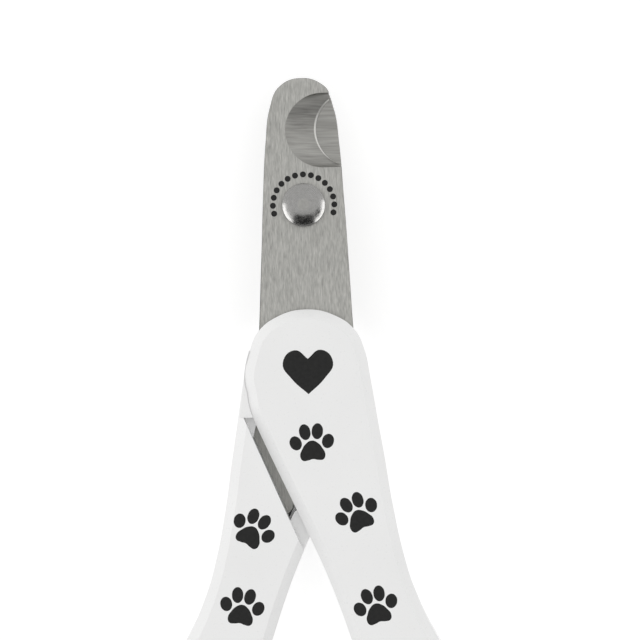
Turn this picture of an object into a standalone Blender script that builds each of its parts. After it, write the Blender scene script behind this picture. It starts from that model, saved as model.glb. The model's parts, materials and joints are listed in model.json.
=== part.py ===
"""Scissor-action claw clipper for cats, lying flat with its tips towards +Y.

Two equal halves turn on one rivet. Each half is a steel blade whose tang is pinned into a
plastic handle shell, and a grip cap that brings the shell to full thickness beside the lap.
A half is drawn once, in its own frame: the rivet's axis is Z through the origin, the tips
point to +Y, and Z = 0 is the plane where the two halves meet. The front half stands above that
plane and its handle lies towards +X. The rear half is the same half turned 180 degrees about Y.
The clipper is drawn closed, its stops a hair apart.
"""
import math

import bmesh
import bpy

MM = 0.001

# Overall sizes
LENGTH = 120.0 * MM
THICKNESS = 8.8 * MM
TIP_Y = 14.6 * MM                    # from the rivet's axis to the tip of the blades
PIVOT_Y = LENGTH / 2 - TIP_Y

# Fits
GAP = 0.3 * MM                       # between pieces that lie face to face
SIDE_GAP = 0.2 * MM                  # round a tang in its pocket, a pin in its hole
STOP_GAP = 0.1 * MM                  # between the closing stop and the other handle

# Blades
BLADE_THICKNESS = 2.0 * MM
BLADE_FLAT = GAP / 2                 # height of the blade's flat, inner face
BLADE_FACE = BLADE_FLAT + BLADE_THICKNESS
NOTCH_EDGE = (5.9, 8.66, 4.3)        # centre x, y and radius of the cutting edge, in mm
NOTCH_GRIND = (2.35, 8.5, 4.25)      # the same for the ground bevel where it meets the face
HOOK_END_X = 3.2 * MM                # the hook's point is ground blunt here
BLADE_SET = math.radians(0.15)       # how far a blade stands open on its handle
HALF_SET = math.radians(0.2)         # how far each half stands open while the stops are close

# Handles
EDGE_ROUNDING = 1.0 * MM
POCKET_ROOF = BLADE_FACE + GAP       # height of the tang pocket's floor in the shell
POCKET_MOUTH_Y = -16.5 * MM          # the pocket is open to both sides above this line
LEDGE_DEPTH = 2.0 * MM               # from the grip cap's face down to the slot's ledges
STOP_DEPTH = 1.0 * MM                # from the grip cap's face down to the closing stop

# Rivet, turned about Z
SHANK_RADIUS = 1.7 * MM
HEAD_RADIUS = 2.45 * MM
HEAD_HEIGHT = 1.25 * MM
HEAD_FLAT_RADIUS = 1.7 * MM
TAIL_RADIUS = 2.3 * MM
TAIL_HEIGHT = 0.9 * MM
WASHER_RADIUS = 3.1 * MM
WASHER_THICKNESS = 0.5 * MM

# Tang pins
PIN_RADIUS = 0.8 * MM
PIN_BOTTOM = 0.35 * MM
PIN_TOP = 3.5 * MM
PIN_PLACES = {"upper": (1.0, -22.0), "lower": (5.5, -32.6)}

CURVE_STEPS = 4                      # segments between two points of an outline
ROUND_STEPS = 32                     # segments round a turned piece

# Outlines of the front half, in mm. A third value "corner" marks a sharp point.
BLADE_TIP = [(0.0, 14.6), (2.52, 13.57), (3.62, 11.1)]
BLADE_SIDE = [(4.16, 7.2), (4.66, 0.0), (5.02, -7.5), (5.34, -14.5)]
TANG_OUTER = [(5.75, -20.0), (6.15, -25.6), (7.0, -31.4), (7.6, -35.4, "corner")]
TANG_END = [(6.9, -36.3, "corner"), (3.0, -36.3, "corner"), (1.8, -34.9, "corner")]
TANG_INNER = [(-1.7, -27.2), (-4.1, -21.8), (-5.3, -17.6)]
POCKET_END = [(7.75, -36.4, "corner"), (2.5, -36.4, "corner")]

HANDLE_HEAD = [(0.0, -11.9), (3.2, -12.62), (5.55, -14.4), (6.6, -16.8), (7.15, -19.8)]
HANDLE_OUTER = [
    (7.87, -24.5), (8.6, -29.1), (9.35, -34.2), (10.6, -40.4), (11.75, -44.2),
    (14.2, -49.5), (17.6, -54.6), (22.2, -60.6), (27.0, -67.2), (30.6, -74.6)]
LOOP_OUTER = [
    (32.0, -82.6), (31.0, -91.0), (27.2, -98.6), (21.4, -103.8), (14.8, -105.4),
    (8.6, -103.6), (4.2, -98.8), (1.9, -92.4), (1.2, -85.4), (1.7, -79.0), (3.2, -72.8)]
HANDLE_INNER = [
    (5.1, -66.6), (6.25, -60.6), (5.9, -54.8), (4.33, -49.5), (2.5, -44.1), (1.08, -40.5),
    (0.0, -38.05), (-4.9, -27.3), (-5.95, -24.9)]
HANDLE_NECK = [(-6.3, -24.0), (-6.7, -22.6), (-6.9, -21.2)]
FINGER_HOLE = [
    (13.4, -63.4), (19.2, -66.4), (24.8, -73.8), (26.8, -82.0), (25.5, -90.4), (21.2, -96.8),
    (15.4, -99.8), (10.3, -97.6), (7.3, -91.8), (6.6, -85.0), (7.2, -77.8), (8.9, -70.6),
    (10.7, -65.6)]

# The lap: where a grip cap stops beside the other half's handle
STEP_TOP = (7.18, -24.1)
STEP_BOTTOM = (-0.35, -41.5)
# Ledges of the cap close both ends of the slot; the tang shows in the window between them
WINDOW_BOTTOM = [(-0.7, -39.5), (1.32, -35.06), (2.08, -35.9)]
WINDOW_TOP = [(6.16, -26.45), (5.98, -24.95)]


def clear_scene():
    for piece in list(bpy.data.objects):
        bpy.data.objects.remove(piece, do_unlink=True)


def new_collection(name):
    collection = bpy.data.collections.new(name)
    bpy.context.scene.collection.children.link(collection)
    return collection


def new_material(name, colour, roughness, metallic):
    material = bpy.data.materials.new(name)
    material.use_nodes = True
    shader = material.node_tree.nodes["Principled BSDF"]
    shader.inputs["Base Color"].default_value = (*colour, 1.0)
    shader.inputs["Roughness"].default_value = roughness
    shader.inputs["Metallic"].default_value = metallic
    material.diffuse_color = (*colour, 1.0)
    return material


def add_object(name, mesh, parent, collection, height=0.0):
    """Link a mesh as an object in a half's frame, its own origin on the rivet's axis."""
    piece = bpy.data.objects.new(name, mesh)
    collection.objects.link(piece)
    piece.parent = parent
    piece.location.z = height
    return piece


def finish_piece(piece, material):
    """Give a piece its material and smooth shading with sharp edges kept."""
    piece.data.materials.clear()
    piece.data.materials.append(material)
    piece.data.shade_smooth()
    piece.data.set_sharp_from_angle(angle=math.radians(35.0))


def hide_cutter(cutter):
    cutter.hide_render = True
    cutter.display_type = "WIRE"


def cut(piece, cutter):
    hide_cutter(cutter)
    boolean = piece.modifiers.new("cut_" + cutter.name, "BOOLEAN")
    boolean.operation = "DIFFERENCE"
    boolean.solver = "EXACT"
    boolean.object = cutter


def add_spline(curve, points):
    """A closed smooth line through points in mm, sharp where a point says "corner"."""
    spline = curve.splines.new("BEZIER")
    spline.bezier_points.add(len(points) - 1)
    spline.use_cyclic_u = True
    spline.resolution_u = CURVE_STEPS
    for knot, point in zip(spline.bezier_points, points):
        knot.co = (point[0] * MM, point[1] * MM, 0.0)
        kind = "VECTOR" if len(point) == 3 else "AUTO"
        knot.handle_left_type = kind
        knot.handle_right_type = kind


def plate_mesh(name, outline, bottom, top, hole=None, rounding=0.0, grow=0.0):
    """A plate between two heights, from a filled 2D curve made into a welded mesh."""
    curve = bpy.data.curves.new(name, "CURVE")
    curve.dimensions = "2D"
    curve.fill_mode = "BOTH"
    curve.extrude = (top - bottom) / 2 - rounding
    curve.bevel_depth = rounding
    curve.bevel_resolution = 1
    curve.offset = grow - rounding
    add_spline(curve, outline)
    if hole:
        add_spline(curve, hole)
    guide = bpy.data.objects.new(name + "_outline", curve)
    bpy.context.scene.collection.objects.link(guide)
    evaluated = guide.evaluated_get(bpy.context.evaluated_depsgraph_get())
    mesh = bpy.data.meshes.new_from_object(evaluated)
    bpy.data.objects.remove(guide, do_unlink=True)
    bpy.data.curves.remove(curve)
    bm = bmesh.new()
    bm.from_mesh(mesh)
    bmesh.ops.remove_doubles(bm, verts=bm.verts, dist=0.001 * MM)
    bmesh.ops.translate(bm, verts=bm.verts, vec=(0.0, 0.0, (top + bottom) / 2))
    bmesh.ops.recalc_face_normals(bm, faces=bm.faces)
    bm.to_mesh(mesh)
    bm.free()
    mesh.name = name
    return mesh


def box_mesh(name, low, high):
    """A box between two corners in metres."""
    mesh = bpy.data.meshes.new(name)
    bm = bmesh.new()
    bmesh.ops.create_cube(bm, size=1.0)
    for vertex in bm.verts:
        for axis in range(3):
            middle = (low[axis] + high[axis]) / 2
            vertex.co[axis] = middle + vertex.co[axis] * (high[axis] - low[axis])
    bm.to_mesh(mesh)
    bm.free()
    return mesh


def cylinder_mesh(name, radius, bottom, top, place=(0.0, 0.0)):
    """A cylinder about an upright axis at a place in metres."""
    mesh = bpy.data.meshes.new(name)
    bm = bmesh.new()
    bmesh.ops.create_cone(
        bm, cap_ends=True, segments=ROUND_STEPS, radius1=radius, radius2=radius,
        depth=top - bottom)
    bmesh.ops.translate(bm, verts=bm.verts, vec=(*place, (top + bottom) / 2))
    bm.to_mesh(mesh)
    bm.free()
    return mesh


def turned_object(name, profile, parent, collection):
    """A piece turned about Z from a profile of (radius, height), top to bottom."""
    mesh = bpy.data.meshes.new(name)
    mesh.from_pydata([(radius, 0.0, height) for radius, height in profile],
                     [(i, i + 1) for i in range(len(profile) - 1)], [])
    piece = add_object(name, mesh, parent, collection)
    screw = piece.modifiers.new("turn", "SCREW")
    screw.axis = "Z"
    screw.steps = ROUND_STEPS
    screw.render_steps = ROUND_STEPS
    screw.use_merge_vertices = True
    screw.merge_threshold = 0.001 * MM
    screw.use_smooth_shade = True
    return piece


def mirrored(points):
    """The same outline points seen on the other side of the long axis, in reverse order."""
    return [(-point[0], *point[1:]) for point in reversed(points)]


def blade_outline(end, outer=TANG_OUTER):
    """The blade's closed outline, clockwise from the tip, with a given end on its tang."""
    left = mirrored(BLADE_TIP[1:] + BLADE_SIDE)
    return BLADE_TIP + BLADE_SIDE + outer + end + TANG_INNER + left


def handle_outline():
    left_head = mirrored(HANDLE_HEAD[1:])
    return (HANDLE_HEAD + HANDLE_OUTER + LOOP_OUTER + HANDLE_INNER
            + HANDLE_NECK + left_head)


def lap_outline(slot):
    """What a grip cap leaves free: the other half's handle, its slot and its head.

    The line follows the given points along the slot, turns in under the closing stop, and then
    runs up beside the other handle's neck, so that the stop is left standing on the cap.
    """
    gap = STOP_GAP / MM
    stop_face = [(x + gap, y) for x, y in mirrored(HANDLE_NECK)]
    first, last = stop_face[-1], stop_face[0]
    corner_low = (first[0], STEP_TOP[1], "corner")
    return [
        (-12.0, slot[0][1], "corner"), *[(*point, "corner") for point in slot],
        corner_low, *reversed(stop_face[:-1]), (last[0] + 0.25, last[1] + 1.4, "corner"),
        (12.0, -16.0, "corner"), (12.0, -8.0, "corner"), (-12.0, -8.0, "corner")]


def notch_mesh(name):
    """The claw notch: a slanted, round-nosed cutter, open towards +X.

    Its section changes evenly from the cutting edge on the blade's flat face to the wider line
    where the bevel meets the outer face, which leaves a bevel of about 30 degrees.
    """
    far_x = 9.0
    arc_steps = 28
    overshoot = 0.15
    mesh = bpy.data.meshes.new(name)
    bm = bmesh.new()
    rings = []
    for blend in (-overshoot, 1.0 + overshoot):
        x, y, radius = [a + (b - a) * blend for a, b in zip(NOTCH_EDGE, NOTCH_GRIND)]
        height = BLADE_FLAT + BLADE_THICKNESS * blend
        section = [(far_x, y + radius)]
        for step in range(arc_steps + 1):
            angle = math.pi * (0.5 + step / arc_steps)
            section.append((x + radius * math.cos(angle), y + radius * math.sin(angle)))
        section.append((far_x, y - radius))
        rings.append([bm.verts.new((px * MM, py * MM, height)) for px, py in section])
    low, high = rings
    for i in range(len(low)):
        j = (i + 1) % len(low)
        bm.faces.new((low[i], low[j], high[j], high[i]))
    bm.faces.new(list(reversed(low)))
    bm.faces.new(high)
    bmesh.ops.recalc_face_normals(bm, faces=bm.faces)
    bm.to_mesh(mesh)
    bm.free()
    return mesh


def add_blade_frame(prefix, half):
    """A frame for all that follows the blade, turned a little about the rivet's axis."""
    blade_frame = bpy.data.objects.new(prefix + "_blade_frame", None)
    bpy.context.scene.collection.objects.link(blade_frame)
    blade_frame.parent = half
    blade_frame.rotation_euler.z = BLADE_SET
    return blade_frame


def make_blade(prefix, parent, parts, cutters, material):
    mesh = plate_mesh(prefix + "_blade", blade_outline(TANG_END), BLADE_FLAT, BLADE_FACE)
    blade = add_object(prefix + "_blade", mesh, parent, parts)
    notch = add_object(prefix + "_notch", notch_mesh(prefix + "_notch"), parent, cutters)
    cut(blade, notch)
    end = box_mesh(prefix + "_hook_end", (HOOK_END_X, 11.0 * MM, -MM), (8 * MM, 15 * MM, 4 * MM))
    cut(blade, add_object(prefix + "_hook_end", end, parent, cutters))
    bore = cylinder_mesh(prefix + "_bore", SHANK_RADIUS + SIDE_GAP, -MM, 4 * MM)
    cut(blade, add_object(prefix + "_bore", bore, parent, cutters))
    for place_name, (x, y) in PIN_PLACES.items():
        name = prefix + "_tang_hole_" + place_name
        hole = cylinder_mesh(name, PIN_RADIUS + SIDE_GAP, -MM, 4 * MM, (x * MM, y * MM))
        cut(blade, add_object(name, hole, parent, cutters))
    finish_piece(blade, material)


def make_pins(prefix, parent, parts, material):
    for place_name, (x, y) in PIN_PLACES.items():
        name = prefix + "_tang_pin_" + place_name
        mesh = cylinder_mesh(name, PIN_RADIUS, PIN_BOTTOM, PIN_TOP)
        pin = add_object(name, mesh, parent, parts)
        pin.location = (x * MM, y * MM, 0.0)
        finish_piece(pin, material)


def make_shell(prefix, parent, blade_frame, parts, cutters, material):
    """The handle's main moulding: everything on its own side of the meeting plane."""
    half = THICKNESS / 2
    mesh = plate_mesh(prefix + "_handle_shell", handle_outline(), -half, half,
                      hole=FINGER_HOLE, rounding=EDGE_ROUNDING)
    shell = add_object(prefix + "_handle_shell", mesh, parent, parts)
    other_side = box_mesh(prefix + "_other_side", (-50 * MM, -120 * MM, -2 * half),
                          (50 * MM, 20 * MM, GAP / 2))
    cut(shell, add_object(prefix + "_other_side", other_side, parent, cutters))
    pocket_outer = TANG_OUTER[:-1]
    pocket = plate_mesh(prefix + "_pocket", blade_outline(POCKET_END, pocket_outer),
                        -MM, POCKET_ROOF, grow=SIDE_GAP)
    cut(shell, add_object(prefix + "_pocket", pocket, blade_frame, cutters))
    mouth = box_mesh(prefix + "_pocket_mouth", (-12 * MM, POCKET_MOUTH_Y, -MM),
                     (12 * MM, -8 * MM, POCKET_ROOF))
    cut(shell, add_object(prefix + "_pocket_mouth", mouth, parent, cutters))
    for place_name, (x, y) in PIN_PLACES.items():
        name = prefix + "_shell_hole_" + place_name
        hole = cylinder_mesh(name, PIN_RADIUS + SIDE_GAP, -MM, PIN_TOP + SIDE_GAP,
                             (x * MM, y * MM))
        cut(shell, add_object(name, hole, blade_frame, cutters))
    finish_piece(shell, material)


def make_cap(prefix, parent, parts, cutters, material):
    """The grip cap: the far side of the handle, with the slot's step and the closing stop."""
    half = THICKNESS / 2
    mesh = plate_mesh(prefix + "_grip_cap", handle_outline(), -half, half,
                      hole=FINGER_HOLE, rounding=EDGE_ROUNDING)
    cap = add_object(prefix + "_grip_cap", mesh, parent, parts)
    own_side = box_mesh(prefix + "_own_side", (-50 * MM, -120 * MM, -GAP / 2),
                        (50 * MM, 20 * MM, 2 * half))
    cut(cap, add_object(prefix + "_own_side", own_side, parent, cutters))
    ledge = -(half - LEDGE_DEPTH)
    lap = plate_mesh(prefix + "_lap", lap_outline([STEP_BOTTOM, STEP_TOP]), -2 * half, ledge)
    cut(cap, add_object(prefix + "_lap", lap, parent, cutters))
    window = plate_mesh(prefix + "_window", lap_outline(WINDOW_BOTTOM + WINDOW_TOP),
                        ledge - MM / 2, MM)
    cut(cap, add_object(prefix + "_window", window, parent, cutters))
    stop_top = box_mesh(prefix + "_stop_top", (5 * MM, STEP_TOP[1] * MM, -2 * half),
                        (12 * MM, -8 * MM, STOP_DEPTH - half))
    cut(cap, add_object(prefix + "_stop_top", stop_top, parent, cutters))
    finish_piece(cap, material)


def make_half(prefix, half, parts, cutters, steel, plastic):
    """One half of the clipper under its empty, which stands on the rivet's axis."""
    blade_frame = add_blade_frame(prefix, half)
    make_blade(prefix, blade_frame, parts, cutters, steel)
    make_pins(prefix, blade_frame, parts, steel)
    make_shell(prefix, half, blade_frame, parts, cutters, plastic)
    make_cap(prefix, half, parts, cutters, plastic)


def dome(radius, flat_radius, low, high, steps=5):
    """Profile points of a rounded head, from its flat top out and down to its rim."""
    points = []
    for step in range(steps + 1):
        angle = math.pi / 2 * step / steps
        points.append((flat_radius + (radius - flat_radius) * math.sin(angle),
                       low + (high - low) * math.cos(angle)))
    return points


def make_rivet(parent, parts, material):
    """The pivot: a domed head, a shank through both blades and a peened tail."""
    head_seat = BLADE_FACE + SIDE_GAP
    tail_seat = -(BLADE_FACE + 2 * SIDE_GAP + WASHER_THICKNESS)
    rim = 0.25 * MM
    profile = [(0.0, head_seat + HEAD_HEIGHT)]
    profile += dome(HEAD_RADIUS, HEAD_FLAT_RADIUS, head_seat + rim, head_seat + HEAD_HEIGHT)
    profile += [(HEAD_RADIUS, head_seat), (SHANK_RADIUS, head_seat), (SHANK_RADIUS, tail_seat)]
    tail = dome(TAIL_RADIUS, 0.9 * MM, tail_seat - rim, tail_seat - TAIL_HEIGHT)
    profile += [(TAIL_RADIUS, tail_seat), *reversed(tail), (0.0, tail_seat - TAIL_HEIGHT)]
    rivet = turned_object("pivot_rivet", profile, parent, parts)
    finish_piece(rivet, material)


def make_washer(parent, parts, material):
    """The washer under the rivet's peened tail."""
    top = -(BLADE_FACE + SIDE_GAP)
    bottom = top - WASHER_THICKNESS
    bore = SHANK_RADIUS + SIDE_GAP
    edge = 0.12 * MM
    profile = [(bore, top), (WASHER_RADIUS, top), (WASHER_RADIUS, bottom + edge),
               (WASHER_RADIUS - edge, bottom), (bore, bottom), (bore, top)]
    washer = turned_object("rivet_washer", profile, parent, parts)
    finish_piece(washer, material)


def add_pivot_empty(name, turn, opening=0.0):
    """An empty on the rivet's axis, turned about Y and then opened about Z."""
    empty = bpy.data.objects.new(name, None)
    bpy.context.scene.collection.objects.link(empty)
    empty.location = (0.0, PIVOT_Y, THICKNESS / 2)
    empty.rotation_euler = (0.0, turn, opening)
    return empty


def main():
    clear_scene()
    parts = new_collection("claw_clipper")
    cutters = new_collection("cutters")
    steel = new_material("blade_steel", (0.40, 0.395, 0.38), 0.35, 1.0)
    rivet_steel = new_material("rivet_steel", (0.55, 0.54, 0.52), 0.2, 1.0)
    plastic = new_material("white_plastic", (0.80, 0.80, 0.80), 0.25, 0.0)
    rear = add_pivot_empty("rear_half", math.pi, -HALF_SET)
    front = add_pivot_empty("front_half", 0.0, HALF_SET)
    rivet_axis = add_pivot_empty("rivet_axis", 0.0)
    bpy.context.view_layer.update()
    make_half("rear", rear, parts, cutters, steel, plastic)
    make_half("front", front, parts, cutters, steel, plastic)
    make_rivet(rivet_axis, parts, rivet_steel)
    make_washer(rivet_axis, parts, rivet_steel)
    bpy.context.view_layer.update()


main()
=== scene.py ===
"""The finished look of the claw clipper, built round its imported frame.

Each half is drawn as in the part's design: in its own frame, in mm, with the rivet's axis as Z
through the origin, the blade's tip towards +Y and Z = 0 as the plane where the halves meet. The
front half stands above that plane, its handle towards +X. The rear half is the same one turned
180 degrees about Y. The fine meshes repeat the design's outlines with more points, rounder edges
and the small ground and moulded details.
"""
import json
import math

import bmesh
import bpy
from mathutils import Matrix, Vector

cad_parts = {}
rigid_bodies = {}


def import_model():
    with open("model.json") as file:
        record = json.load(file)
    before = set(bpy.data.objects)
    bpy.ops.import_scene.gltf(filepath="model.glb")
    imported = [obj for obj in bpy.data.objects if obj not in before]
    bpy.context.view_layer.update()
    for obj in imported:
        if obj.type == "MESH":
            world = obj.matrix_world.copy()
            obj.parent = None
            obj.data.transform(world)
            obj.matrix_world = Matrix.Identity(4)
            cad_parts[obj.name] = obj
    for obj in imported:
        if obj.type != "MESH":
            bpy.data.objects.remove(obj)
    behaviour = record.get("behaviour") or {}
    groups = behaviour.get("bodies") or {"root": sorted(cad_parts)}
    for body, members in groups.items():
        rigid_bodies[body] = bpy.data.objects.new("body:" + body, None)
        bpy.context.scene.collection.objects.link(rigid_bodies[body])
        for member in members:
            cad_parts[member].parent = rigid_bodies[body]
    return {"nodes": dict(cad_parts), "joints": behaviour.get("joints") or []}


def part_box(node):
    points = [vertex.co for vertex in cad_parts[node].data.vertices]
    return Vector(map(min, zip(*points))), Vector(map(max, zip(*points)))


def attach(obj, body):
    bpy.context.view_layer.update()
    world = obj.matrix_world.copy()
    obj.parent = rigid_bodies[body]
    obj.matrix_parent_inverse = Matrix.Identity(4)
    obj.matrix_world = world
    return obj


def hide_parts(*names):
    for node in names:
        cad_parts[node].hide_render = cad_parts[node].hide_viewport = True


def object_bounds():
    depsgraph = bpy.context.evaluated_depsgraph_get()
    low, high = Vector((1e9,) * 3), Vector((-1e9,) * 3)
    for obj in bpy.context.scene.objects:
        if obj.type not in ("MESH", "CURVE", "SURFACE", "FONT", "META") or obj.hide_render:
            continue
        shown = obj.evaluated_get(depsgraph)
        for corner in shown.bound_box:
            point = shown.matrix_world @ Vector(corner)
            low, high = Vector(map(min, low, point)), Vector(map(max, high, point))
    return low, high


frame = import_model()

cad_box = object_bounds()

MM = 0.001
HINGE = frame["joints"][0]
PIVOT = Vector(HINGE["pos_m"])
BODY = {"front": HINGE["child"], "rear": HINGE["parent"]}
HALF_THICKNESS = (cad_box[1].z - cad_box[0].z) / 2 / MM

# Blades, in mm
BLADE_FACE = (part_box("front_blade")[1].z - PIVOT.z) / MM
BLADE_FLAT = 0.06                    # the inner faces nearly touch
BLADE_EDGE_BREAK = 0.07
THROUGH_BLADE = (-1.0, 4.0)          # heights well past both faces of a blade
BLADE_SET = math.radians(0.15)       # how far a blade stands open on its handle
HALF_SET = math.radians(0.2)         # how far each half stands open while the stops are close
NOTCH_EDGE = (5.9, 8.66, 4.3)        # centre x, y and radius of the cutting edge
NOTCH_GRIND = (2.35, 8.5, 4.25)      # the same where the bevel meets the outer face
NOTCH_FAR_X = 9.0
NOTCH_ARC_STEPS = 72
HONED_SHIFT = (-0.2, 0.05)           # gives the honed line the shape of a thin crescent
HONED_HEIGHT = 0.13
HOLLOW = 0.05                        # how much the ground bevel is hollowed
HOOK_END_LOW = (3.2, 11.0)           # the hook's point is ground blunt at this x
HOOK_END_HIGH = (8.0, 15.0)
GROUND_END_Y = -12.5                 # below this line the inner face is brushed, not ground

# Handles, in mm
FACE_DROP = 0.03                     # the prints lie on the face, within the part's thickness
EDGE_CHAMFER = 1.1
EDGE_EASE = 0.3                      # rounds the chamfer's own edges
MATING_GAP = 0.1                     # from the meeting plane to a shell's inner side
SEAM = 0.05                          # a cap reaches past the meeting plane to its own shell
POCKET_ROOF = BLADE_FACE + 0.3
POCKET_MOUTH_Y = -16.5
SIDE_GAP = 0.2
POCKET_GAP = 0.06                    # round a tang where it shows in the slot
LAP_GAP = 0.01                       # between a cap and the other half's handle
LEDGE_DEPTH = 2.0                    # from a grip cap's face down to the slot's ledges
STOP_DEPTH = 1.0                     # from a grip cap's face down to the closing stop
STOP_LOW_X = 5.0                     # a grip cap's face is lowered to the stop past this x
LAP_X = 6.0                          # above the slot a grip cap is left standing past this x
REACH_LOW = (-50.0, -120.0, -9.0)    # well past a handle
REACH_HIGH = (50.0, 20.0, 9.0)
HEAD_REACH = 12.0                    # well past a handle's head, to each side
HEAD_REACH_Y = -8.0
HEAD_BOTTOM_Y = -16.5                # a cap leaves the other handle's head free above this line
OTHER_TOP = 1.0                      # cutters for the other half end at this height
WINDOW_OVERLAP = 0.5                 # how far the slot's window is cut past its ledges

# Rivet, tang pins
RIVET_TOP = (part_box("pivot_rivet")[1].z - PIVOT.z) / MM
RIVET_BOTTOM = (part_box("pivot_rivet")[0].z - PIVOT.z) / MM
HEAD_RADIUS = 2.45
HEAD_HEIGHT = 1.25
HEAD_FLAT_RADIUS = 0.3
TAIL_RADIUS = 2.3
TAIL_HEIGHT = 0.9
TAIL_FLAT_RADIUS = 0.8
RIM_TILT = math.radians(44.0)        # a head's slope where its small rim rounding starts
RIM_ROUNDING = 0.08
DOME_STEPS = 12
RIM_STEPS = 6
SHANK_RADIUS = 1.7
WASHER_RADIUS = 3.1
WASHER_CHAMFER = 0.12
WASHER_BOTTOM = (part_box("rivet_washer")[0].z - PIVOT.z) / MM
WASHER_TOP = (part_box("rivet_washer")[1].z - PIVOT.z) / MM
PIN_RADIUS = 0.8
PIN_PLACES = [(1.0, -22.0), (5.5, -32.6)]

# Meshes, lengths in mm
CURVE_STEPS = 12
PRINT_CURVE_STEPS = 6
ROUND_STEPS = 96
EASE_SEGMENTS = 4
WELD = 0.001                         # points closer than this become one
SHARP_ANGLE = math.radians(30.0)     # an edge that turns by more is drawn sharp
FLAT_NORMAL = 0.995                  # a face is flat where its normal's Z is past this
SIDE_NORMAL = 0.9                    # a blade's side begins where its normal's Z is below this

# Outlines of the front half, in mm. A third value "corner" marks a sharp point.
BLADE_TIP = [(0.12, 14.5), (2.6, 13.6), (3.3, 12.6), (3.64, 11.1)]
BLADE_BACK = [(-3.6, 11.1), (-2.45, 13.57)]
BLADE_SIDE = [(4.16, 7.2), (4.66, 0.0), (5.02, -7.5), (5.34, -14.5)]
TANG_OUTER = [(5.75, -20.0), (6.15, -25.6), (7.0, -31.4), (7.6, -35.4, "corner")]
TANG_END = [(6.9, -36.3, "corner"), (3.0, -36.3, "corner"), (1.8, -34.9, "corner")]
TANG_INNER = [(-1.7, -27.2), (-4.1, -21.8), (-5.3, -17.6)]
POCKET_END = [(7.75, -36.4, "corner"), (2.5, -36.4, "corner")]
HANDLE_HEAD = [(0.0, -11.9), (3.2, -12.62), (5.55, -14.4), (6.6, -16.8), (7.15, -19.8)]
HANDLE_OUTER = [
    (7.87, -24.5), (8.6, -29.1), (9.35, -34.2), (10.6, -40.4), (11.75, -44.2),
    (14.2, -49.5), (17.6, -54.6), (22.2, -60.6), (27.0, -67.2), (30.6, -74.6)]
LOOP_OUTER = [
    (31.99, -82.6), (31.0, -91.0), (27.2, -98.6), (21.4, -103.8), (14.8, -105.4),
    (8.6, -103.6), (4.2, -98.8), (1.9, -92.4), (1.2, -85.4), (1.7, -79.0), (3.2, -72.8)]
HANDLE_INNER = [
    (5.1, -66.6), (6.25, -60.6), (5.9, -54.8), (4.33, -49.5), (2.5, -44.1), (1.08, -40.5),
    (0.0, -38.05), (-4.9, -27.3), (-5.95, -24.9)]
HANDLE_NECK = [(-6.3, -24.0), (-6.7, -22.6), (-6.9, -21.2)]
FINGER_HOLE = [
    (13.4, -63.4), (19.2, -66.4), (24.8, -73.8), (26.8, -82.0), (25.5, -90.4), (21.2, -96.8),
    (15.4, -99.8), (10.3, -97.6), (7.3, -91.8), (6.6, -85.0), (7.2, -77.8), (8.9, -70.6),
    (10.7, -65.6)]
STEP_TOP = (7.18, -24.1)
STEP_BOTTOM = (-0.35, -41.5)
WINDOW_BOTTOM = [(-3.0, -39.5), (-3.0, -34.0), (1.52, -34.85), (2.08, -35.9)]
WINDOW_TOP = [(6.16, -26.45), (5.8, -24.85), (3.0, -24.5)]

# Pad prints, in mm: paws as (x, y, turn in degrees) from the rivet, seen from the front
PRINT_THICKNESS = 0.02
FRONT_PAWS = [(0.34, -27.1, 3), (5.27, -35.1, 24), (7.18, -45.7, 14), (12.3, -56.2, 30)]
REAR_PAWS = [(-6.53, -36.7, -30), (-7.99, -45.5, -10), (-12.6, -56.4, -32)]
PAW_SIZE = 0.95                      # scale of the toes and the pad below
# Toes as (x, y, half width, half height, turn in degrees), the pad as its right side
PAW_TOES = [(-1.93, 0.17, 0.7, 0.86, 20), (-0.75, 1.42, 0.67, 0.95, 8),
            (0.75, 1.42, 0.67, 0.95, -8), (1.93, 0.17, 0.7, 0.86, -20)]
PAW_PAD = [(0.0, 0.36), (0.75, 0.0), (1.2, -0.6), (1.5, -1.35), (1.25, -1.95), (0.6, -1.98)]
PAW_PAD_FOOT = (0.0, -1.85)
HEART_PLACE = (0.09, -18.8)
HEART = [(0.0, -2.7, "corner"), (1.9, -0.9), (2.85, 0.85), (1.5, 2.3), (0.0, 1.3, "corner")]
DOT_COUNT = 15
DOT_ARC = (-15.0, 195.0)             # degrees, from the first dot to the last
DOT_RING = 3.5
DOT_RADIUS = 0.34

# View: the lengths in mm, the lens and its sensor too
VIEW_CENTRE = (1.616, -13.135)       # from the rivet
VIEW_WIDTH = 72.96                   # across, at the height of the front blade's face
VIEW_TILT = math.radians(1.1)
LENS = 150.0
SENSOR = 36.0

# Studio, in metres
FLOOR_HALF_SIDE = 3.0
FLAGS = [                            # name, place, size, whether it shades matt surfaces too
    ("studio_flag_near", (0.0, -0.8, 0.35), 1.3, False),
    ("studio_flag_right", (0.75, -0.35, 0.42), 0.45, True)]
RIVET_SOFTBOXES = [                  # name, place, width, height, radiance
    ("left_softbox", (-0.84, -0.33, 0.15), 1.05, 0.32, 2.8),
    ("right_softbox", (0.85, -0.31, 0.15), 1.3, 0.32, 2.8)]
HANDLE_SOFTBOX = ("fill_softbox", (-0.7, 0.1, 0.7), 0.8, 0.8, 0.25)
WORLD_RADIANCE = 0.915


# ---------------------------------------------------------------- meshes

def half_place(side):
    """From a half's own frame in mm to the row frame in metres."""
    turn = math.pi if side == "rear" else 0.0
    turned = Matrix.Rotation(turn, 4, "Y") @ Matrix.Rotation(HALF_SET, 4, "Z")
    return Matrix.Translation(PIVOT) @ turned @ Matrix.Scale(MM, 4)


def blade_place(side):
    return half_place(side) @ Matrix.Rotation(BLADE_SET, 4, "Z")


def link(name, data):
    piece = bpy.data.objects.new(name, data)
    bpy.context.scene.collection.objects.link(piece)
    return piece


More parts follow.
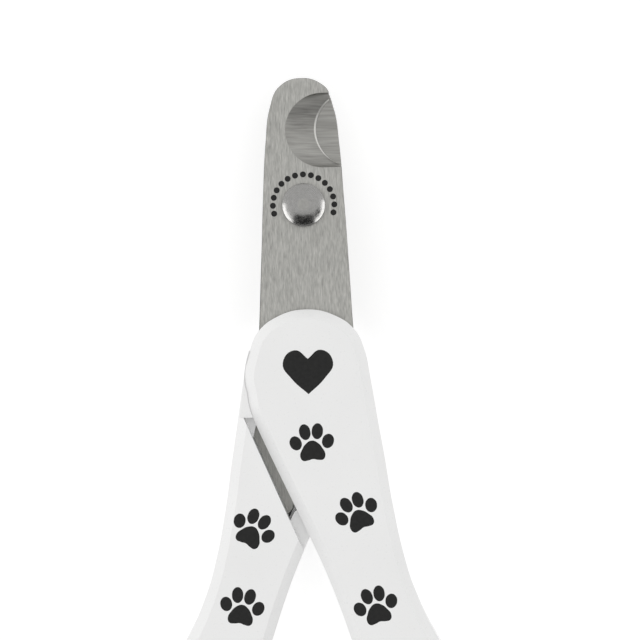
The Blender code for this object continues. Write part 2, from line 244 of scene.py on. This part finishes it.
def evaluated_mesh(piece):
    """The mesh of an object with its modifiers applied; the object itself is removed."""
    bpy.context.view_layer.update()
    evaluated = piece.evaluated_get(bpy.context.evaluated_depsgraph_get())
    mesh = bpy.data.meshes.new_from_object(evaluated)
    bpy.data.objects.remove(piece, do_unlink=True)
    return mesh


def add_spline(curve, points, steps):
    """A closed smooth line through points, sharp where a point says "corner"."""
    spline = curve.splines.new("BEZIER")
    spline.bezier_points.add(len(points) - 1)
    spline.use_cyclic_u = True
    spline.resolution_u = steps
    for knot, point in zip(spline.bezier_points, points):
        knot.co = (point[0], point[1], 0.0)
        kind = "VECTOR" if len(point) == 3 else "AUTO"
        knot.handle_left_type = kind
        knot.handle_right_type = kind


def plate_mesh(name, outlines, bottom, top, rounding=0.0, round_steps=0, grow=0.0,
               steps=CURVE_STEPS):
    """A plate between two heights, from filled outlines, as a welded mesh in mm."""
    curve = bpy.data.curves.new(name, "CURVE")
    curve.dimensions = "2D"
    curve.fill_mode = "BOTH"
    curve.extrude = (top - bottom) / 2 - rounding
    curve.bevel_depth = rounding
    curve.bevel_resolution = round_steps
    curve.offset = grow - rounding
    for outline in outlines:
        add_spline(curve, outline, steps)
    mesh = evaluated_mesh(link(name, curve))
    bpy.data.curves.remove(curve)
    bm = bmesh.new()
    bm.from_mesh(mesh)
    bmesh.ops.remove_doubles(bm, verts=bm.verts, dist=WELD)
    bmesh.ops.translate(bm, verts=bm.verts, vec=(0.0, 0.0, (top + bottom) / 2))
    bmesh.ops.recalc_face_normals(bm, faces=bm.faces)
    bm.to_mesh(mesh)
    bm.free()
    mesh.name = name
    return mesh


def box_mesh(name, low, high):
    """A box between two corners."""
    mesh = bpy.data.meshes.new(name)
    bm = bmesh.new()
    bmesh.ops.create_cube(bm, size=1.0)
    for vertex in bm.verts:
        for axis in range(3):
            middle = (low[axis] + high[axis]) / 2
            vertex.co[axis] = middle + vertex.co[axis] * (high[axis] - low[axis])
    bm.to_mesh(mesh)
    bm.free()
    return mesh


def cylinder_mesh(name, radius, bottom, top, place=(0.0, 0.0)):
    """An upright cylinder between two heights."""
    mesh = bpy.data.meshes.new(name)
    bm = bmesh.new()
    bmesh.ops.create_cone(bm, cap_ends=True, segments=ROUND_STEPS, radius1=radius,
                          radius2=radius, depth=top - bottom)
    bmesh.ops.translate(bm, verts=bm.verts, vec=(*place, (top + bottom) / 2))
    bm.to_mesh(mesh)
    bm.free()
    return mesh


def cut_mesh(mesh, cutters):
    """The mesh with each cutter mesh taken away. Cut faces keep the cutter's material index."""
    piece = link(mesh.name, mesh)
    tools = []
    for cutter in cutters:
        tool = link(cutter.name, cutter)
        boolean = piece.modifiers.new("cut", "BOOLEAN")
        boolean.operation = "DIFFERENCE"
        boolean.solver = "EXACT"
        boolean.object = tool
        tools.append(tool)
    result = evaluated_mesh(piece)
    for tool in tools:
        bpy.data.objects.remove(tool, do_unlink=True)
    return result


def eased_mesh(mesh, width):
    """The mesh with its sharp edges rounded by that much."""
    piece = link(mesh.name, mesh)
    bevel = piece.modifiers.new("ease", "BEVEL")
    bevel.width = width
    bevel.segments = EASE_SEGMENTS
    bevel.limit_method = "ANGLE"
    bevel.angle_limit = SHARP_ANGLE
    return evaluated_mesh(piece)


def split_mesh(mesh, y):
    """Divide the faces that cross a line at that y."""
    bm = bmesh.new()
    bm.from_mesh(mesh)
    everything = [*bm.verts, *bm.edges, *bm.faces]
    bmesh.ops.bisect_plane(bm, geom=everything, plane_co=(0.0, y, 0.0), plane_no=(0.0, 1.0, 0.0))
    bm.to_mesh(mesh)
    bm.free()


def turned_mesh(name, profile):
    """A solid turned about Z from a profile of (radius, height), top to bottom."""
    line = bpy.data.meshes.new(name)
    edges = [(i, i + 1) for i in range(len(profile) - 1)]
    line.from_pydata([(radius, 0.0, height) for radius, height in profile], edges, [])
    piece = link(name, line)
    screw = piece.modifiers.new("turn", "SCREW")
    screw.axis = "Z"
    screw.steps = ROUND_STEPS
    screw.render_steps = ROUND_STEPS
    screw.use_merge_vertices = True
    screw.merge_threshold = WELD
    return evaluated_mesh(piece)


def finish_piece(name, mesh, side, materials, replaced, place):
    """Put a finished mesh in the scene as a piece that rides on its half."""
    mesh.transform(place)
    indices = [face.material_index for face in mesh.polygons]
    mesh.materials.clear()
    for material in materials:
        mesh.materials.append(material)
    mesh.polygons.foreach_set("material_index", indices)
    mesh.shade_smooth()
    mesh.set_sharp_from_angle(angle=SHARP_ANGLE)
    piece = link(name, mesh)
    weighted = piece.modifiers.new("weighted_normals", "WEIGHTED_NORMAL")
    weighted.keep_sharp = True
    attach(piece, BODY[side])
    if replaced:
        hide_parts(replaced)
    return piece


# ---------------------------------------------------------------- outlines

def mirrored(points):
    return [(-point[0], *point[1:]) for point in reversed(points)]


def blade_outline(end, outer=TANG_OUTER):
    left = mirrored(BLADE_SIDE) + BLADE_BACK
    return BLADE_TIP + BLADE_SIDE + outer + end + TANG_INNER + left


def handle_outline():
    return (HANDLE_HEAD + HANDLE_OUTER + LOOP_OUTER + HANDLE_INNER + HANDLE_NECK
            + mirrored(HANDLE_HEAD[1:]))


def lap_outline(slot):
    """What a grip cap leaves free below its stop, down to the given line along the slot."""
    corners = [(-HEAD_REACH, slot[0][1]), *slot, (LAP_X, STEP_TOP[1]), (LAP_X, HEAD_REACH_Y),
               (-HEAD_REACH, HEAD_REACH_Y)]
    return [(*point, "corner") for point in corners]


def ellipse(x, y, width, height, turn):
    """Eight points round a turned ellipse of those half axes."""
    points = []
    for step in range(8):
        angle = math.tau * step / 8
        offset = Matrix.Rotation(math.radians(turn), 2) @ Vector(
            (width * math.cos(angle), height * math.sin(angle)))
        points.append((x + offset.x, y + offset.y))
    return points


def placed(points, x, y, turn, size):
    """Outline points turned, scaled and moved to a place."""
    rotation = Matrix.Rotation(math.radians(turn), 2)
    result = []
    for point in points:
        spot = rotation @ Vector(point[:2]) * size
        result.append((x + spot.x, y + spot.y, *point[2:]))
    return result


def paw_outlines(x, y, turn):
    pad = PAW_PAD + [PAW_PAD_FOOT] + mirrored(PAW_PAD[1:])
    shapes = [ellipse(*toe) for toe in PAW_TOES] + [pad]
    return [placed(shape, x, y, turn, PAW_SIZE) for shape in shapes]


def dot_outlines():
    """Dots in an arc over the rivet."""
    first, last = DOT_ARC
    dot = ellipse(DOT_RING, 0.0, DOT_RADIUS, DOT_RADIUS, 0.0)
    turns = [first + (last - first) * i / (DOT_COUNT - 1) for i in range(DOT_COUNT)]
    return [placed(dot, 0.0, 0.0, turn, 1.0) for turn in turns]


# ---------------------------------------------------------------- materials

NOISE_SPAN = (0.3, 0.7)              # nearly all of a noise's values lie between these


class Finish:
    """A Principled material whose detail comes from noise in object space, in mm."""

    def __init__(self, name, **constants):
        self.material = bpy.data.materials.new(name)
        self.material.use_nodes = True
        self.tree = self.material.node_tree
        self.shader = self.tree.nodes["Principled BSDF"]
        for socket, value in constants.items():
            self.shader.inputs[socket.replace("_", " ")].default_value = value

    def noise(self, per_mm, detail=4.0, distortion=0.0, turn=0.0):
        """Noise with so many features per mm along X, Y and Z."""
        coordinates = self.tree.nodes.new("ShaderNodeTexCoord")
        mapping = self.tree.nodes.new("ShaderNodeMapping")
        mapping.inputs["Rotation"].default_value[2] = math.radians(turn)
        mapping.inputs["Scale"].default_value = [count / MM for count in per_mm]
        noise = self.tree.nodes.new("ShaderNodeTexNoise")
        noise.inputs["Scale"].default_value = 1.0
        noise.inputs["Detail"].default_value = detail
        noise.inputs["Distortion"].default_value = distortion
        self.tree.links.new(coordinates.outputs["Object"], mapping.inputs["Vector"])
        self.tree.links.new(mapping.outputs["Vector"], noise.inputs["Vector"])
        return noise.outputs["Fac"]

    def mixed(self, first, second, share):
        """Two noises added together, with a share of the second."""
        mix = self.tree.nodes.new("ShaderNodeMix")
        mix.inputs["Factor"].default_value = share
        self.tree.links.new(first, mix.inputs["A"])
        self.tree.links.new(second, mix.inputs["B"])
        return mix.outputs["Result"]

    def colour(self, source, low, high):
        """Base colour between two, by a noise."""
        ramp = self.tree.nodes.new("ShaderNodeValToRGB")
        for element, position, colour in zip(ramp.color_ramp.elements, NOISE_SPAN, (low, high)):
            element.position = position
            element.color = (*colour, 1.0)
        self.tree.links.new(source, ramp.inputs["Fac"])
        self.tree.links.new(ramp.outputs["Color"], self.shader.inputs["Base Color"])

    def roughness(self, source, low, high):
        """Roughness between two values, by a noise."""
        span = self.tree.nodes.new("ShaderNodeMapRange")
        span.inputs["From Min"].default_value = NOISE_SPAN[0]
        span.inputs["From Max"].default_value = NOISE_SPAN[1]
        span.inputs["To Min"].default_value = low
        span.inputs["To Max"].default_value = high
        self.tree.links.new(source, span.inputs["Value"])
        self.tree.links.new(span.outputs["Result"], self.shader.inputs["Roughness"])

    def bump(self, source, height):
        """A relief of that height in mm, by a noise."""
        bump = self.tree.nodes.new("ShaderNodeBump")
        bump.inputs["Distance"].default_value = height * MM
        self.tree.links.new(source, bump.inputs["Height"])
        self.tree.links.new(bump.outputs["Normal"], self.shader.inputs["Normal"])


def brushed_steel():
    """Blade faces: fine lengthwise brushing with a few wavy, slightly slanted streaks."""
    finish = Finish("brushed_blade_steel", Metallic=1.0)
    fine = finish.noise((12.0, 1.1, 12.0), detail=3.0, distortion=0.2)
    wavy = finish.noise((5.0, 0.9, 5.0), detail=3.0, distortion=0.5, turn=8.0)
    streaks = finish.mixed(fine, wavy, 0.4)
    finish.colour(streaks, (0.29, 0.288, 0.273), (0.6, 0.595, 0.568))
    finish.roughness(fine, 0.34, 0.5)
    finish.bump(fine, 0.004)
    return finish.material


def ground_steel():
    """The notch's bevel and the blades' inner flats: grinding lines across the blade."""
    finish = Finish("ground_blade_steel", Metallic=1.0)
    lines = finish.noise((0.2, 5.5, 0.6), detail=5.0, distortion=0.1)
    bands = finish.noise((0.05, 0.9, 0.3), detail=2.0)
    mixed = finish.mixed(lines, bands, 0.35)
    finish.colour(mixed, (0.24, 0.236, 0.224), (0.46, 0.455, 0.434))
    finish.roughness(lines, 0.38, 0.52)
    finish.bump(lines, 0.004)
    return finish.material


def honed_steel_painted_highlight():
    """The narrow honed line along the cutting edge, nearly polished, its colour lighter than the
    other steel's as a painted highlight.
    """
    finish = Finish("honed_edge_painted_highlight", Metallic=1.0)
    grain = finish.noise((8.0, 8.0, 8.0), detail=3.0)
    # painted highlight: a lighter colour than the blade's other steel, standing in for the glint
    # along the edge
    finish.colour(grain, (0.68, 0.675, 0.65), (0.76, 0.755, 0.73))
    finish.roughness(grain, 0.35, 0.45)
    finish.bump(grain, 0.001)
    return finish.material


def side_steel_painted_shade():
    """The blades' narrow sides: colour darkened as painted shade, so they show as dark rims
    round the blades; marked across the thickness.
    """
    finish = Finish("blade_sides_painted_shade", Metallic=1.0)
    marks = finish.noise((3.0, 3.0, 0.8))
    # painted shade: the sides' colour is far darker than steel, standing in for the shade on
    # them
    finish.colour(marks, (0.1, 0.099, 0.095), (0.18, 0.178, 0.17))
    finish.roughness(marks, 0.35, 0.5)
    finish.bump(marks, 0.004)
    return finish.material


def rivet_dome_steel():
    """The rivet's rounded rim: polished, with faint turning marks and handling scratches."""
    finish = Finish("polished_rivet_steel", Metallic=1.0)
    marks = finish.noise((3.0, 3.0, 14.0), detail=5.0)
    finish.colour(marks, (0.3, 0.297, 0.29), (0.37, 0.366, 0.36))
    finish.roughness(marks, 0.2, 0.34)
    finish.bump(marks, 0.006)
    return finish.material


def rivet_flat_steel():
    """The flat faces of the rivet and its washer: dull from riveting, with small dents."""
    finish = Finish("riveted_flat_steel", Metallic=1.0)
    dents = finish.noise((1.8, 1.8, 1.8), detail=6.0, distortion=0.6)
    finish.colour(dents, (0.31, 0.306, 0.293), (0.43, 0.426, 0.41))
    finish.roughness(dents, 0.3, 0.46)
    finish.bump(dents, 0.01)
    return finish.material


def pin_steel():
    """The tang pins: cut from drawn wire, so their marks run lengthwise."""
    finish = Finish("drawn_pin_steel", Metallic=1.0)
    marks = finish.noise((6.0, 6.0, 0.5), detail=4.0)
    finish.colour(marks, (0.5, 0.5, 0.49), (0.62, 0.62, 0.61))
    finish.roughness(marks, 0.25, 0.4)
    finish.bump(marks, 0.003)
    return finish.material


def white_plastic():
    """Glossy white mouldings, with the slight unevenness and fine texture of the mould."""
    finish = Finish("white_moulded_plastic", Metallic=0.0, IOR=1.5, Coat_Weight=0.15,
                    Coat_Roughness=0.15)
    clouds = finish.noise((0.12, 0.12, 0.12), detail=3.0)
    grain = finish.noise((4.0, 4.0, 4.0), detail=4.0)
    finish.colour(clouds, (0.865, 0.865, 0.865), (0.885, 0.885, 0.885))
    finish.roughness(grain, 0.26, 0.36)
    finish.bump(grain, 0.0015)
    return finish.material


def printed_ink():
    """Pad-printed ink: charcoal, with pinholes and a slightly uneven film."""
    finish = Finish("charcoal_print_ink", Metallic=0.0, IOR=1.3)
    film = finish.noise((2.5, 2.5, 2.5), detail=6.0)
    finish.colour(film, (0.012, 0.012, 0.012), (0.02, 0.02, 0.0195))
    finish.roughness(film, 0.4, 0.55)
    finish.bump(film, 0.003)
    return finish.material


def studio_white():
    """The floor: matt white paper that also glows a little, so that shadows stay pale."""
    finish = Finish("studio_white_paper", Metallic=0.0, Roughness=0.9,
                    Emission_Color=(1.0, 1.0, 1.0, 1.0), Emission_Strength=0.62)
    fibres = finish.noise((0.02, 0.02, 0.02), detail=3.0)
    finish.colour(fibres, (0.5, 0.5, 0.5), (0.52, 0.52, 0.52))
    return finish.material


def flag_cloth():
    """Black cloth of the studio's flags."""
    finish = Finish("flag_cloth", Metallic=0.0, Roughness=0.9)
    finish.colour(finish.noise((0.5, 0.5, 0.5)), (0.01, 0.01, 0.01), (0.02, 0.02, 0.02))
    return finish.material


# ---------------------------------------------------------------- pieces

GROUND_INDEX, HONED_INDEX, SIDE_INDEX = 1, 2, 3   # material slots after a blade's brushed face
FLAT_INDEX = 1                       # material slot of the rivet's flat faces


def notch_rings():
    """The cutter's sections as (height, x, y, radius): honed line, then a hollow bevel.

    No section lies on the blade's own faces, which keeps the cut clean.
    """
    rise = BLADE_FACE - BLADE_FLAT
    edge_x, edge_y, edge_radius = NOTCH_EDGE
    honed = (edge_x + HONED_SHIFT[0], edge_y + HONED_SHIFT[1])
    below = (edge_x - HONED_SHIFT[0], edge_y - HONED_SHIFT[1])
    rings = [(BLADE_FLAT - HONED_HEIGHT, *below, edge_radius),
             (BLADE_FLAT + HONED_HEIGHT, *honed, edge_radius)]
    bevel_steps = 6
    start = HONED_HEIGHT / rise
    for step in (*range(1, bevel_steps), bevel_steps + 1):
        part = step / bevel_steps
        sag = HOLLOW * math.sin(math.pi * part)
        centre = [a + (b - a) * part for a, b in zip(honed, NOTCH_GRIND)]
        radius = edge_radius + (NOTCH_GRIND[2] - edge_radius) * part + sag
        rings.append((BLADE_FLAT + rise * (start + (1 - start) * part), *centre, radius))
    return rings


def notch_mesh(name):
    """The claw notch: a slanted, round-nosed cutter, open towards +X."""
    mesh = bpy.data.meshes.new(name)
    bm = bmesh.new()
    rings = []
    for height, x, y, radius in notch_rings():
        section = [(NOTCH_FAR_X, y + radius)]
        for step in range(NOTCH_ARC_STEPS + 1):
            angle = math.pi * (0.5 + step / NOTCH_ARC_STEPS)
            section.append((x + radius * math.cos(angle), y + radius * math.sin(angle)))
        section.append((NOTCH_FAR_X, y - radius))
        rings.append([bm.verts.new((px, py, height)) for px, py in section])
    for row, (low, high) in enumerate(zip(rings, rings[1:])):
        for i in range(len(low)):
            j = (i + 1) % len(low)
            face = bm.faces.new((low[i], low[j], high[j], high[i]))
            face.material_index = GROUND_INDEX if row > 0 else HONED_INDEX
    bm.faces.new(list(reversed(rings[0])))
    bm.faces.new(rings[-1])
    bmesh.ops.recalc_face_normals(bm, faces=bm.faces)
    bm.to_mesh(mesh)
    bm.free()
    return mesh


def add_blade(side, materials):
    name = side + "_blade"
    plate = plate_mesh(name, [blade_outline(TANG_END)], BLADE_FLAT, BLADE_FACE,
                       rounding=BLADE_EDGE_BREAK, round_steps=2)
    below, above = THROUGH_BLADE
    cutters = [box_mesh("hook_end", (*HOOK_END_LOW, below), (*HOOK_END_HIGH, above)),
               notch_mesh("notch"),
               cylinder_mesh("bore", SHANK_RADIUS + SIDE_GAP, below, above)]
    cutters += [cylinder_mesh("pin_hole", PIN_RADIUS + SIDE_GAP, below, above, place)
                for place in PIN_PLACES]
    for mesh in [plate, *cutters]:
        for material in materials:
            mesh.materials.append(material)
    blade = cut_mesh(plate, cutters)
    split_mesh(blade, GROUND_END_Y)
    for face in blade.polygons:
        if face.normal.z < -FLAT_NORMAL and face.center.y > GROUND_END_Y:
            face.material_index = GROUND_INDEX
        elif abs(face.normal.z) < SIDE_NORMAL and face.material_index == 0:
            face.material_index = SIDE_INDEX
    finish_piece("finished_" + name, blade, side, materials, name,
                 blade_place(side))


def handle_plate(name):
    half = HALF_THICKNESS - FACE_DROP
    plate = plate_mesh(name, [handle_outline(), FINGER_HOLE], -half, half,
                       rounding=EDGE_CHAMFER)
    return eased_mesh(plate, EDGE_EASE)


def add_shell(side, plastic):
    """The handle's main moulding: everything on its own side of the meeting plane."""
    name = side + "_handle_shell"
    below = THROUGH_BLADE[0]
    pocket = plate_mesh("pocket", [blade_outline(POCKET_END, TANG_OUTER[:-1])], below,
                        POCKET_ROOF, grow=POCKET_GAP)
    pocket.transform(Matrix.Rotation(BLADE_SET, 4, "Z"))
    cutters = [box_mesh("other_side", REACH_LOW, (*REACH_HIGH[:2], MATING_GAP)),
               pocket,
               box_mesh("pocket_mouth", (-HEAD_REACH, POCKET_MOUTH_Y, below),
                        (HEAD_REACH, HEAD_REACH_Y, POCKET_ROOF))]
    shell = cut_mesh(handle_plate(name), cutters)
    return finish_piece("finished_" + name, shell, side, [plastic], name,
                        half_place(side))


def add_cap(side, plastic):
    """The grip cap: the far side of the handle, with the slot's ledges and the closing stop."""
    name = side + "_grip_cap"
    below = REACH_LOW[2]
    ledge = LEDGE_DEPTH - HALF_THICKNESS
    other_handle = plate_mesh("other_handle", [mirrored(handle_outline())], below, OTHER_TOP,
                              grow=LAP_GAP)
    other_handle.transform(Matrix.Rotation(-2 * HALF_SET, 4, "Z"))
    cutters = [box_mesh("own_side", (*REACH_LOW[:2], SEAM), REACH_HIGH),
               plate_mesh("lap", [lap_outline([STEP_BOTTOM, STEP_TOP])], below, ledge),
               plate_mesh("window", [lap_outline(WINDOW_BOTTOM + WINDOW_TOP)],
                          ledge - WINDOW_OVERLAP, OTHER_TOP),
               other_handle,
               box_mesh("other_head", (-HEAD_REACH, HEAD_BOTTOM_Y, below),
                        (HEAD_REACH, HEAD_REACH_Y, OTHER_TOP)),
               box_mesh("stop_top", (STOP_LOW_X, STEP_TOP[1], below),
                        (HEAD_REACH, HEAD_REACH_Y, STOP_DEPTH - HALF_THICKNESS))]
    cap = cut_mesh(handle_plate(name), cutters)
    return finish_piece("finished_" + name, cap, side, [plastic], name,
                        half_place(side))


def dome(radius, flat_radius, top, outward):
    """Profile points of a domed head, from its flat top out and down to its rounded rim."""
    rise = math.sin(RIM_TILT)
    crown = (radius - flat_radius - RIM_ROUNDING * (1 - rise)) / rise
    points = []
    for step in range(DOME_STEPS + 1):
        angle = RIM_TILT * step / DOME_STEPS
        points.append((flat_radius + crown * math.sin(angle),
                       top - outward * crown * (1 - math.cos(angle))))
    rim_height = points[-1][1]
    for step in range(1, RIM_STEPS + 1):
        angle = RIM_TILT + (math.pi / 2 - RIM_TILT) * step / RIM_STEPS
        drop = RIM_ROUNDING * (math.cos(RIM_TILT) - math.cos(angle))
        points.append((radius - RIM_ROUNDING * (1 - math.sin(angle)),
                       rim_height - outward * drop))
    return points


def mark_flats(mesh):
    for face in mesh.polygons:
        if abs(face.normal.z) > FLAT_NORMAL:
            face.material_index = FLAT_INDEX


def add_rivet(materials):
    """The pivot: a domed head, a shank through both blades and a peened tail."""
    seat = RIVET_TOP - HEAD_HEIGHT
    tail_seat = RIVET_BOTTOM + TAIL_HEIGHT
    head = dome(HEAD_RADIUS, HEAD_FLAT_RADIUS, RIVET_TOP, 1)
    tail = dome(TAIL_RADIUS, TAIL_FLAT_RADIUS, RIVET_BOTTOM, -1)
    profile = [(0.0, RIVET_TOP), *head, (HEAD_RADIUS, seat), (SHANK_RADIUS, seat),
               (SHANK_RADIUS, tail_seat), (TAIL_RADIUS, tail_seat), *reversed(tail),
               (0.0, RIVET_BOTTOM)]
    mesh = turned_mesh("rivet", profile)
    mark_flats(mesh)
    return finish_piece("finished_pivot_rivet", mesh, "rear", materials,
                        "pivot_rivet", half_place("front"))


def add_washer(material):
    bore = SHANK_RADIUS + SIDE_GAP
    profile = [(bore, WASHER_TOP), (WASHER_RADIUS, WASHER_TOP),
               (WASHER_RADIUS, WASHER_BOTTOM + WASHER_CHAMFER),
               (WASHER_RADIUS - WASHER_CHAMFER, WASHER_BOTTOM),
               (bore, WASHER_BOTTOM), (bore, WASHER_TOP)]
    finish_piece("finished_rivet_washer", turned_mesh("washer", profile), "rear",
                 [material], "rivet_washer", half_place("front"))


def add_print(name, side, outlines, face, ink):
    """Ink on a surface that faces the viewer, at that height above the meeting plane."""
    mesh = plate_mesh(name, outlines, face - PRINT_THICKNESS / 2, face + PRINT_THICKNESS / 2,
                      steps=PRINT_CURVE_STEPS)
    finish_piece(name, mesh, side, [ink], None, half_place("front"))


def add_prints(ink):
    handle_face = HALF_THICKNESS - FACE_DROP
    heart = placed(HEART + mirrored(HEART[1:-1]), *HEART_PLACE, 0.0, 1.0)
    front = [outline for paw in FRONT_PAWS for outline in paw_outlines(*paw)]
    rear = [outline for paw in REAR_PAWS for outline in paw_outlines(*paw)]
    add_print("front_handle_heart", "front", [heart], handle_face, ink)
    add_print("front_handle_paws", "front", front, handle_face, ink)
    add_print("rear_handle_paws", "rear", rear, handle_face, ink)
    add_print("front_blade_dots", "front", dot_outlines(), BLADE_FACE, ink)


def add_pins(material):
    """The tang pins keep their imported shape, hidden in their holes."""
    for name, node in frame["nodes"].items():
        if "tang_pin" in name:
            node.data.materials.clear()
            node.data.materials.append(material)


# ---------------------------------------------------------------- studio

def add_floor():
    mesh = bpy.data.meshes.new("studio_floor")
    bm = bmesh.new()
    bmesh.ops.create_grid(bm, x_segments=8, y_segments=8, size=FLOOR_HALF_SIDE)
    bm.to_mesh(mesh)
    bm.free()
    mesh.materials.append(studio_white())
    floor = link("studio_floor", mesh)
    floor.location.z = cad_box[0].z


def face_origin(thing, place):
    """Put a light or a card at a place and turn it towards the origin."""
    thing.location = place
    thing.rotation_euler = (-Vector(place)).to_track_quat("-Z", "Y").to_euler()


def add_softbox(name, place, width, height, radiance, lit):
    """A rectangular area light of a given radiance, which lights only the listed pieces."""
    light = bpy.data.lights.new(name, "AREA")
    light.shape = "RECTANGLE"
    light.size = width
    light.size_y = height
    light.energy = radiance * math.pi * width * height
    lamp = link(name, light)
    face_origin(lamp, place)
    lamp.visible_camera = False
    receivers = bpy.data.collections.new(name + "_receivers")
    for piece in lit:
        receivers.objects.link(piece)
    lamp.light_linking.receiver_collection = receivers


def add_flag(name, place, size, shades):
    """A black card out of view, which gives the steel its dark reflections."""
    mesh = bpy.data.meshes.new(name)
    bm = bmesh.new()
    bmesh.ops.create_grid(bm, x_segments=2, y_segments=2, size=size / 2)
    bm.to_mesh(mesh)
    bm.free()
    mesh.materials.append(flag_cloth())
    flag = link(name, mesh)
    face_origin(flag, place)
    flag.visible_camera = False
    flag.visible_diffuse = shades


def add_world(radiance):
    world = bpy.data.worlds.new("studio_world")
    world.use_nodes = True
    background = world.node_tree.nodes["Background"]
    background.inputs["Color"].default_value = (1.0, 1.0, 0.995, 1.0)
    background.inputs["Strength"].default_value = radiance
    bpy.context.scene.world = world


def add_camera():
    """Straight above the blade's face, as far off as the lens needs for the view's width."""
    face = PIVOT.z + BLADE_FACE * MM
    camera = bpy.data.cameras.new("camera")
    camera.lens = LENS
    camera.sensor_width = SENSOR
    camera.clip_start = 0.01
    camera.clip_end = 20.0
    eye = link("camera", camera)
    distance = VIEW_WIDTH * MM * LENS / SENSOR
    eye.location = (PIVOT.x + VIEW_CENTRE[0] * MM, PIVOT.y + VIEW_CENTRE[1] * MM,
                    face + distance)
    eye.rotation_euler.z = -VIEW_TILT
    bpy.context.scene.camera = eye


def main():
    blade_materials = [brushed_steel(), ground_steel(), honed_steel_painted_highlight(), side_steel_painted_shade()]
    rivet_materials = [rivet_dome_steel(), rivet_flat_steel()]
    plastic = white_plastic()
    handles = []
    for side in ("rear", "front"):
        add_blade(side, blade_materials)
        handles += [add_shell(side, plastic), add_cap(side, plastic)]
    rivet = add_rivet(rivet_materials)
    add_washer(rivet_materials[FLAT_INDEX])
    add_pins(pin_steel())
    add_prints(printed_ink())
    add_floor()
    for flag in FLAGS:
        add_flag(*flag)
    for softbox in RIVET_SOFTBOXES:
        add_softbox(*softbox, [rivet])
    add_softbox(*HANDLE_SOFTBOX, handles)
    add_world(WORLD_RADIANCE)
    add_camera()
    bpy.context.scene.view_settings.view_transform = "Standard"


main()
